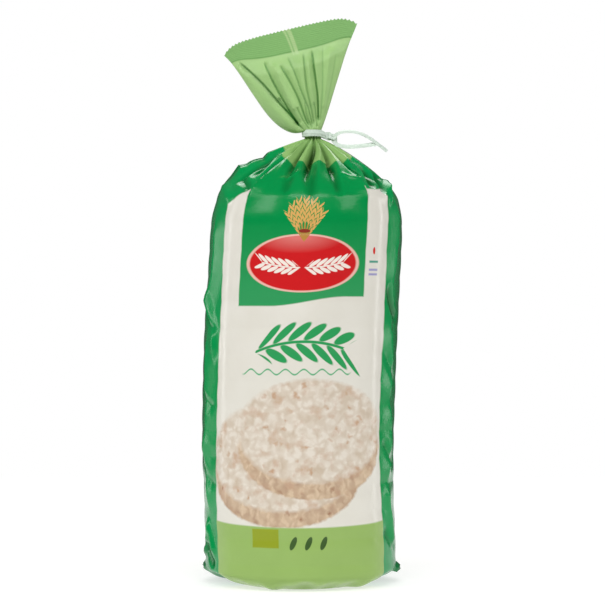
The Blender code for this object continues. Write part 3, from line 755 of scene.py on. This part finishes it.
def bezier(points, share):
    first, second, third, last = (np.array(point, float) for point in points)
    rest = 1.0 - share
    return (rest ** 3 * first + 3 * rest ** 2 * share * second + 3 * rest * share ** 2 * third
            + share ** 3 * last)


def fan_point(across, share):
    """Place in the fan's plane: across from -1 at its left edge to 1, share from neck to top."""
    left, right = bezier(FAN_LEFT, share), bezier(FAN_RIGHT, share)
    edge_line = right - left
    upwards = np.array([-edge_line[1], edge_line[0]]) / np.linalg.norm(edge_line)
    flat = (left + right) / 2 + np.multiply.outer(across, edge_line / 2)
    return flat + np.multiply.outer(FAN_CROWN * share ** 2 * (1.0 - across ** 8), upwards)


# Valleys between the pleats as (across, share) routes up the film, then depth and the reach
# of the slope on the left and on the right of each.
FAN_VALLEYS = (
    (((-0.93, 0.82), (-0.89, 0.79), (-0.72, 0.60), (-0.59, 0.45), (-0.45, 0.29), (-0.62, 0.04)),
     -2.0, 0.7, 4.5),
    (((-0.52, 0.76), (-0.50, 0.61), (-0.46, 0.48), (-0.42, 0.36), (-0.46, 0.14)), -1.7, 3.6, 0.7),
    (((-0.54, 0.46), (-0.46, 0.36), (-0.40, 0.26), (-0.42, 0.16)), -1.4, 2.4, 2.0),
    (((-0.26, 0.70), (-0.15, 0.55), (-0.06, 0.40), (-0.04, 0.20), (-0.03, 0.05)), -1.6, 2.6, 1.0),
    (((-0.09, 0.76), (-0.01, 0.61), (0.06, 0.45), (0.16, 0.27), (0.14, 0.04)), -1.1, 2.2, 0.6),
    (((0.21, 0.76), (0.21, 0.60), (0.21, 0.44), (0.26, 0.26), (0.30, 0.04)), -1.1, 2.4, 0.6),
    (((0.36, 0.77), (0.40, 0.63), (0.46, 0.46), (0.50, 0.34), (0.56, 0.08)), -1.9, 0.7, 3.4),
    (((0.56, 0.78), (0.60, 0.59), (0.64, 0.35), (0.70, 0.06)), -0.7, 3.0, 2.6),
    (((-0.18, 0.34), (-0.16, 0.20), (-0.18, 0.03)), -0.9, 1.2, 0.6),
    (((0.10, 0.36), (0.04, 0.20), (0.06, 0.03)), -0.7, 1.0, 0.6),
    (((0.38, 0.32), (0.42, 0.18), (0.46, 0.03)), -0.8, 0.6, 1.2),
    (((0.84, 0.70), (0.86, 0.45), (0.88, 0.12)), -0.4, 3.0, 2.0),
    (((-0.36, 0.72), (-0.33, 0.52), (-0.28, 0.30)), 0.9, 2.6, 2.6),
    (((0.10, 0.70), (0.13, 0.50), (0.18, 0.28)), 0.5, 2.0, 2.0),
    (((0.30, 0.70), (0.31, 0.50), (0.36, 0.28)), 0.6, 2.0, 2.0),
    (((0.72, 0.76), (0.72, 0.50), (0.76, 0.20)), 0.7, 3.0, 3.0),
)
side_turns = np.linspace(-math.pi / 2, math.pi / 2, FAN_COLUMNS // 2 + 1)
ring_turns = np.concatenate([side_turns, (side_turns[-2:0:-1])])
front_side = np.concatenate([np.ones(len(side_turns)), -np.ones(len(side_turns) - 2)])
across = np.sin(ring_turns)
tooth = np.abs(((across * FAN_HALF_WIDTH / TOOTH_PITCH) % 1.0) * 2.0 - 1.0)
rows, flat_places = [], []
for share in np.linspace(0.0, 1.0, FAN_ROWS):
    place = fan_point(across, share)
    toothed = smooth((share - 0.93) / 0.07) * TOOTH_DEPTH * (tooth - 0.5)
    loose = mix(NECK_RADIUS, 5.2, math.sin(math.pi * min(share / 0.8, 1.0)))
    seal_line = SEAL_SHARE + SEAL_BOW * across ** 4
    pressed = smooth((share - seal_line + 0.16) / 0.17)
    thickness = mix(loose, SEAL_HALF_THICKNESS, pressed)
    roundness = np.abs(np.cos(ring_turns)) ** mix(1.0, 0.45, share)
    curl = FAN_CURL * share * across ** 2
    rows.append(np.stack([place[:, 0], curl - front_side * roundness * thickness,
                          place[:, 1] + toothed], axis=1))
    flat_places.append(place)
rows, flat_places = np.array(rows), np.array(flat_places)
fold_shade = np.zeros(rows.shape[:2])
open_share = np.clip((SEAL_SHARE + 0.02 + SEAL_BOW * across[None, :] ** 4
                      - np.linspace(0.0, 1.0, FAN_ROWS)[:, None]) / 0.12, 0.0, 1.0)
for side in (1, -1):
    on_side = (front_side == side)[None, :]
    relief = np.zeros(rows.shape[:2])
    for route, depth, left, right in FAN_VALLEYS[::side]:
        line = [fan_point(np.array([side * u]), v)[0] for u, v in route]
        reaches = (left, right) if side == 1 else (right, left)
        relief += crease(flat_places, line, depth, *reaches, sharp=1.5, fade=0.08)
        # Painted shade: a narrow dark line along the bottom of each valley.
        if depth < 0:
            fold_shade += np.where(on_side, crease(flat_places, line, -depth / 2.2, 0.6, 0.6, 1.0, 0.1), 0.0)
    edge_calm = smooth((1.0 - np.abs(across)[None, :]) / 0.12)
    relief = np.maximum(relief, -5.6) * smooth(open_share) * edge_calm
    rows[..., 1] -= np.where(on_side, side * relief, 0.0)
    # Painted shade where the film lies deepest between the pleats.
    fold_shade += np.where(on_side, np.clip((-relief - 2.2) / 2.0, 0.0, 0.7), 0.0)
neck_rows = []
for height in (NECK_Z - 0.4, NECK_Z + 0.5, NECK_Z + 1.4):
    neck_rows.append(np.stack([NECK_X + NECK_RADIUS * across,
                               -front_side * NECK_RADIUS * np.abs(np.cos(ring_turns)),
                               height + 0.0 * across], axis=1))
rows = np.concatenate([np.array(neck_rows), rows])
fold_shade = np.concatenate([np.zeros((len(neck_rows), len(across))), fold_shade])
shares = np.concatenate([np.linspace(-0.05, -0.01, len(neck_rows)), np.linspace(0.0, 1.0, FAN_ROWS)])
above_seal = (shares[:, None] - SEAL_SHARE - SEAL_BOW * across ** 4) * FAN_RUN
fan_film = np.stack([np.broadcast_to(across * FAN_HALF_WIDTH, above_seal.shape), above_seal], axis=2)
bag_fan = film_mesh("bag_fan", rows, fan_film, fold_shade, sealed_top=True)


def sealed_top_film():
    """The same BOPP film where its print ends in one pale green. The crimped seal looks darker,
    because four layers lie together there, and two gaps between the gussets show lighter. Painted
    shade darkens the valleys of the pleats and a line along the seal's lower crease."""
    material, tree = new_material("sealed BOPP film")
    place, sideways, height = film_place(tree)
    cloud = add(tree, "ShaderNodeTexNoise", {"Vector": place, "Scale": 0.09, "Detail": 3.0}).outputs[0]
    colour = over(tree, INK_PALE_GREEN, "#94BC78", cloud)
    seal_edge = add(tree, "ShaderNodeMath", {0: height, 1: -1.0}, operation="MULTIPLY").outputs[0]
    # Painted shade: the valleys of the pleats are darkened towards a deep green.
    deep = add(tree, "ShaderNodeAttribute", attribute_name="painted_fold_shade").outputs["Fac"]
    colour = over(tree, colour, "#2F7628", deep)
    colour = over(tree, colour, "#83B56C", edge_mask(tree, seal_edge, 0.25))
    # Painted shade: a dark line along the crease at the lower edge of the seal.
    line = box_mask(tree, place, (-40.0, -0.4), (40.0, 0.3), 0.3)
    colour = over(tree, colour, "#6DA058", line)
    slant = add(tree, "ShaderNodeMath", {0: height, 1: 0.25, 2: sideways},
                operation="MULTIPLY_ADD").outputs[0]
    slanted = add(tree, "ShaderNodeCombineXYZ", {0: slant, 1: height}).outputs[0]
    for left, right in ((0.2, 1.3), (2.0, 4.2)):
        gap = box_mask(tree, slanted, (left, -2.0), (right, 16.0), 0.4)
        colour = over(tree, colour, "#A9C98A", gap)
    ribs = add(tree, "ShaderNodeMath", {0: height, 1: 2 * math.pi / 1.1}, operation="MULTIPLY").outputs[0]
    rib_wave = add(tree, "ShaderNodeMath", {0: ribs}, operation="SINE").outputs[0]
    crimp = add(tree, "ShaderNodeMath", {0: rib_wave, 1: edge_mask(tree, seal_edge, 0.4)},
                operation="MULTIPLY").outputs[0]
    crackle = add(tree, "ShaderNodeTexNoise", {"Vector": place, "Scale": 0.6, "Detail": 3.0}).outputs[0]
    relief = add(tree, "ShaderNodeMath", {0: crimp, 1: 0.35, 2: crackle}, operation="MULTIPLY_ADD").outputs[0]
    bump = add(tree, "ShaderNodeBump", {"Strength": 0.2, "Distance": 0.0003, "Height": relief}).outputs[0]
    shader = add(tree, "ShaderNodeBsdfPrincipled", {"Base Color": colour, "Roughness": 0.42, "Normal": bump,
                                                    "IOR": 1.49, "Specular IOR Level": 0.35}).outputs[0]
    add(tree, "ShaderNodeOutputMaterial", {"Surface": shader})
    return material


bag_fan = apply_tree(bag_fan, film_relief, {
    "Rim Pitch": CAKE_PITCH * MM, "Rim Depth": 0.0, "Rim Top": STACK_TOP * MM,
    "Crinkle Size": 14 * MM, "Crinkle Depth": 0.3 * MM, "Ripple Size": 30 * MM, "Ripple Depth": 0.25 * MM,
    "Film": sealed_top_film()})
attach(bag_fan, "root")
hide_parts("film_bag")


# ---- The twist tie --------------------------------------------------------------------------
# A flat white plastic ribbon with a soft wire down its middle, wound once round the neck and
# twisted together at the right. Its two ends bow out and meet again in an open loop.

TIE_RING_RADIUS = 5.3
TIE_OPENING = math.radians(34)
TIE_WIDTH = 3.4
TIE_THICKNESS = 0.3
WIRE_WIDTH = 0.75
WIRE_HEIGHT = 0.62
TWIST_START = (12.6, 226.4)
TWIST_END = (16.6, 225.8)
TWIST_RADIUS = 0.55
UPPER_END = ((18.0, 227.2), (20.6, 228.5), (24.5, 228.8), (29.1, 228.2), (34.2, 226.0), (39.3, 222.2),
             (43.9, 218.6))
LOWER_END = ((17.0, 223.2), (18.8, 221.4), (23.5, 220.7), (30.0, 221.1), (38.9, 222.3))


def tie_route():
    """Points of the whole ribbon as (x, y, z) in millimetres, with its turn about itself."""
    half_twist = []
    for share in np.linspace(0.0, 1.0, 12):
        turn = share * 1.5 * math.pi
        middle = (mix(TWIST_START[0], TWIST_END[0], share), mix(TWIST_START[1], TWIST_END[1], share))
        half_twist.append((middle, turn))
    first = [(m[0], TWIST_RADIUS * math.cos(t), m[1] + TWIST_RADIUS * math.sin(t)) for m, t in half_twist]
    second = [(m[0], -TWIST_RADIUS * math.cos(t), m[1] - TWIST_RADIUS * math.sin(t)) for m, t in half_twist]
    upper = [(x, 0.2, z) for x, z in UPPER_END]
    lower = [(x, -0.5, z) for x, z in LOWER_END]
    ring = [(NECK_X + TIE_RING_RADIUS * math.cos(turn), TIE_RING_RADIUS * math.sin(turn), NECK_Z)
            for turn in np.linspace(TIE_OPENING, 2 * math.pi - TIE_OPENING, 28)]
    points = upper[::-1] + first[::-1] + ring + second + lower
    turns = ([0.98] * len(upper) + list(np.linspace(0.98, 0.0, 12)) + [0.0] * len(ring)
             + list(np.linspace(0.0, -0.85, 12)) + [-0.85] * len(lower))
    return points, turns


def ribbon_tree():
    """Geometry Nodes: sweeps a flat ribbon with a raised wire along a curve."""
    tree = bpy.data.node_groups.new("wired ribbon", "GeometryNodeTree")
    face = tree.interface
    face.new_socket("Geometry", in_out="OUTPUT", socket_type="NodeSocketGeometry")
    face.new_socket("Geometry", in_out="INPUT", socket_type="NodeSocketGeometry")
    for name in ("Width", "Thickness", "Wire Width", "Wire Height"):
        face.new_socket(name, in_out="INPUT", socket_type="NodeSocketFloat")
    face.new_socket("Plastic", in_out="INPUT", socket_type="NodeSocketMaterial")
    given = add(tree, "NodeGroupInput").outputs
    outline = add(tree, "GeometryNodeCurvePrimitiveCircle", {"Resolution": 40, "Radius": 1.0}).outputs[0]
    place = add(tree, "GeometryNodeInputPosition").outputs[0]
    parts = add(tree, "ShaderNodeSeparateXYZ", {0: place}).outputs
    half_width = add(tree, "ShaderNodeMath", {0: given["Width"], 1: 0.5}, operation="MULTIPLY").outputs[0]
    wide = add(tree, "ShaderNodeMath", {0: parts["X"], 1: half_width}, operation="MULTIPLY").outputs[0]
    from_middle = add(tree, "ShaderNodeMath", {0: wide}, operation="ABSOLUTE").outputs[0]
    wire = add(tree, "ShaderNodeMapRange", {0: from_middle, 1: given["Wire Width"], 2: 0.0,
                                            3: given["Thickness"], 4: given["Wire Height"]},
               interpolation_type="SMOOTHSTEP").outputs[0]
    half_height = add(tree, "ShaderNodeMath", {0: wire, 1: 0.5}, operation="MULTIPLY").outputs[0]
    high = add(tree, "ShaderNodeMath", {0: parts["Y"], 1: half_height}, operation="MULTIPLY").outputs[0]
    shaped = add(tree, "ShaderNodeCombineXYZ", {0: high, 1: wide}).outputs[0]
    profile = add(tree, "GeometryNodeSetPosition", {"Geometry": outline, "Position": shaped}).outputs[0]
    swept = add(tree, "GeometryNodeCurveToMesh", {"Curve": given["Geometry"], "Profile Curve": profile,
                                                  "Fill Caps": True}).outputs[0]
    smoothed = add(tree, "GeometryNodeSetShadeSmooth", {0: swept}).outputs[0]
    solid = add(tree, "GeometryNodeRealizeInstances", {0: smoothed}).outputs[0]
    done = add(tree, "GeometryNodeSetMaterial", {"Geometry": solid, "Material": given["Plastic"]}).outputs[0]
    add(tree, "NodeGroupOutput", {0: done})
    return tree


def tie_plastic():
    """Soft white PE ribbon: milky and half dull, with faint streaks from the way it was drawn."""
    material, tree = new_material("drawn white PE")
    place = add(tree, "ShaderNodeTexCoord").outputs["Object"]
    streak = add(tree, "ShaderNodeTexNoise", {"Vector": place, "Scale": 900.0, "Detail": 2.0}).outputs[0]
    colour = over(tree, "#DDEBDE", "#C6D4C8", streak)
    bump = add(tree, "ShaderNodeBump", {"Strength": 0.15, "Distance": 0.0001, "Height": streak}).outputs[0]
    shader = add(tree, "ShaderNodeBsdfPrincipled", {
        "Base Color": colour, "Roughness": 0.45, "Normal": bump, "IOR": 1.51,
        "Subsurface Weight": 0.2, "Subsurface Radius": (0.001, 0.001, 0.001)}).outputs[0]
    add(tree, "ShaderNodeOutputMaterial", {"Surface": shader})
    return material


points, tie_turns = tie_route()
curve = bpy.data.curves.new("tie_route", "CURVE")
curve.dimensions = "3D"
curve.twist_mode = "Z_UP"
spline = curve.splines.new("NURBS")
spline.points.add(len(points) - 1)
spline.order_u = 3
spline.use_endpoint_u = True
spline.resolution_u = 4
for target, point, turn in zip(spline.points, points, tie_turns):
    target.co = (point[0] * MM, point[1] * MM, point[2] * MM, 1.0)
    target.tilt = turn
tie = bpy.data.objects.new("neck_tie", curve)
bpy.context.scene.collection.objects.link(tie)
tie = apply_tree(tie, ribbon_tree(), {
    "Width": TIE_WIDTH * MM, "Thickness": TIE_THICKNESS * MM, "Wire Width": WIRE_WIDTH * MM,
    "Wire Height": WIRE_HEIGHT * MM, "Plastic": tie_plastic()})
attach(tie, "root")
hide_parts("twist_tie")


# ---- The back seam --------------------------------------------------------------------------
# The film's two long edges are welded face to face down the middle of the back, and the weld
# is folded flat to one side. It is two layers of the same BOPP film, ribbed by the hot jaws.

SEAM_HALF_WIDTH = 5.5
SEAM_HALF_THICKNESS = 0.45
SEAM_LOW, SEAM_HIGH = 9.0, 190.0
SEAM_ROWS, SEAM_COLUMNS = 150, 24

seam_turns = np.linspace(-math.pi / 2, math.pi / 2, SEAM_COLUMNS // 2 + 1)
seam_turns = np.concatenate([seam_turns, seam_turns[-2:0:-1]])
seam_side = np.concatenate([np.ones(SEAM_COLUMNS // 2 + 1), -np.ones(SEAM_COLUMNS // 2 - 1)])
seam_across = np.sin(seam_turns)
rows, film = [], []
for height in np.linspace(SEAM_LOW, SEAM_HIGH, SEAM_ROWS):
    middle = lean(height) + 0.5 * math.sin(height / 17.0)
    raised = 0.75 + 0.3 * math.sin(height / 11.0 + 1.0) * seam_across
    bowed = np.sqrt(BAG_RADIUS ** 2 - (SEAM_HALF_WIDTH * seam_across) ** 2)
    thick = SEAM_HALF_THICKNESS * np.abs(np.cos(seam_turns)) ** 0.4
    rows.append(np.stack([middle + SEAM_HALF_WIDTH * seam_across, bowed + raised - seam_side * thick,
                          height + 0.0 * seam_across], axis=1))
    film.append(np.stack([SEAM_HALF_WIDTH * seam_across, height + 0.0 * seam_across], axis=1))
rows, film = np.array(rows), np.array(film)
back_seam = film_mesh("back_seam", rows, film, np.zeros(rows.shape[:2]))


def seam_film():
    """Welded BOPP film: the pale print of the back, a little darker where two layers lie, with
    the fine cross ribs of the welding jaws and a line of shade along the fold."""
    material, tree = new_material("welded BOPP film")
    place, _, height = film_place(tree)
    cloud = add(tree, "ShaderNodeTexNoise", {"Vector": place, "Scale": 0.1, "Detail": 3.0}).outputs[0]
    colour = over(tree, "#D5D6C8", "#C6C9B8", cloud)
    fold_line = box_mask(tree, place, (-5.6, 0.0), (-4.3, 220.0), 0.3)
    colour = over(tree, colour, "#A9B59A", fold_line)
    ribs = add(tree, "ShaderNodeMath", {0: height, 1: 2 * math.pi / 1.2}, operation="MULTIPLY").outputs[0]
    wave = add(tree, "ShaderNodeMath", {0: ribs}, operation="SINE").outputs[0]
    bump = add(tree, "ShaderNodeBump", {"Strength": 0.3, "Distance": 0.0002, "Height": wave}).outputs[0]
    shader = add(tree, "ShaderNodeBsdfPrincipled", {"Base Color": colour, "Roughness": 0.35, "Normal": bump,
                                                    "IOR": 1.49, "Specular IOR Level": 0.3}).outputs[0]
    add(tree, "ShaderNodeOutputMaterial", {"Surface": shader})
    return material


back_seam.data.materials.append(seam_film())
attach(back_seam, "root")
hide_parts("film_bag")


# ---- Studio ---------------------------------------------------------------------------------
# A plain white floor under wide, soft lights, seen level from the front at about
# the middle of the bag.

FLOOR_SIZE = 1.3
FLOOR_GLOW = 0.62
bpy.ops.mesh.primitive_plane_add(size=FLOOR_SIZE, location=(0.0, 0.0, 0.0))
floor = bpy.context.object
floor.name = "studio_floor"
floor_paint = bpy.data.materials.new("matte white board")
floor_paint.use_nodes = True
floor_shader = floor_paint.node_tree.nodes["Principled BSDF"]
floor_shader.inputs["Base Color"].default_value = paint("#B4B4B2")
floor_shader.inputs["Roughness"].default_value = 0.9
floor_shader.inputs["Emission Color"].default_value = paint("#FFFFFF")
floor_shader.inputs["Emission Strength"].default_value = FLOOR_GLOW
floor.data.materials.append(floor_paint)


def soft_light(name, place, target, size, power):
    """A square soft box that faces a point on the bag."""
    lamp = bpy.data.lights.new(name, "AREA")
    lamp.shape = "RECTANGLE"
    lamp.size, lamp.size_y = size
    lamp.energy = power
    light = bpy.data.objects.new(name, lamp)
    bpy.context.scene.collection.objects.link(light)
    direction = np.array(target) - np.array(place)
    light.location = place
    yaw = math.atan2(direction[0], direction[1])
    pitch = math.atan2(direction[2], math.hypot(direction[0], direction[1]))
    light.rotation_euler = (math.pi / 2 + pitch, 0.0, -yaw)
    return light


MIDDLE = (0.0, 0.0, 0.14)
soft_light("above_front", (0.0, -1.2, 1.5), MIDDLE, (1.3, 0.8), 17.5)
soft_light("above_left", (-1.25, -0.75, 1.15), MIDDLE, (0.9, 0.8), 11.5)
soft_light("above_right", (1.25, -0.75, 1.15), MIDDLE, (0.9, 0.8), 8.5)
soft_light("above_back", (0.0, 1.3, 1.5), MIDDLE, (1.3, 0.8), 12.0)
soft_light("strip_left", (-1.25, 0.35, 0.3), MIDDLE, (0.14, 0.9), 2.0)
soft_light("strip_right", (1.25, 0.35, 0.3), MIDDLE, (0.14, 0.9), 2.0)

world = bpy.data.worlds.new("white surround")
bpy.context.scene.world = world
world.use_nodes = True
sky = world.node_tree
sky.nodes.clear()
seen = add(sky, "ShaderNodeLightPath").outputs["Is Camera Ray"]
backdrop = add(sky, "ShaderNodeBackground", {"Color": (1.0, 1.0, 1.0, 1.0), "Strength": 1.0}).outputs[0]
ambient = add(sky, "ShaderNodeBackground", {"Color": (1.0, 1.0, 1.0, 1.0), "Strength": 0.1}).outputs[0]
blend = add(sky, "ShaderNodeMixShader", {0: seen, 1: ambient, 2: backdrop}).outputs[0]
add(sky, "ShaderNodeOutputWorld", {"Surface": blend})
bpy.context.scene.view_settings.view_transform = "Standard"

CAMERA_DISTANCE = 1.1
CAMERA_HEIGHT = 0.1415
FIELD_OF_VIEW = math.radians(15.95)
camera_data = bpy.data.cameras.new("front camera")
camera_data.sensor_width = 36.0
camera_data.angle = FIELD_OF_VIEW
camera = bpy.data.objects.new("front camera", camera_data)
bpy.context.scene.collection.objects.link(camera)
camera.location = (0.0008, -CAMERA_DISTANCE, CAMERA_HEIGHT)
camera.rotation_euler = (math.pi / 2, 0.0, 0.0)
bpy.context.scene.camera = camera
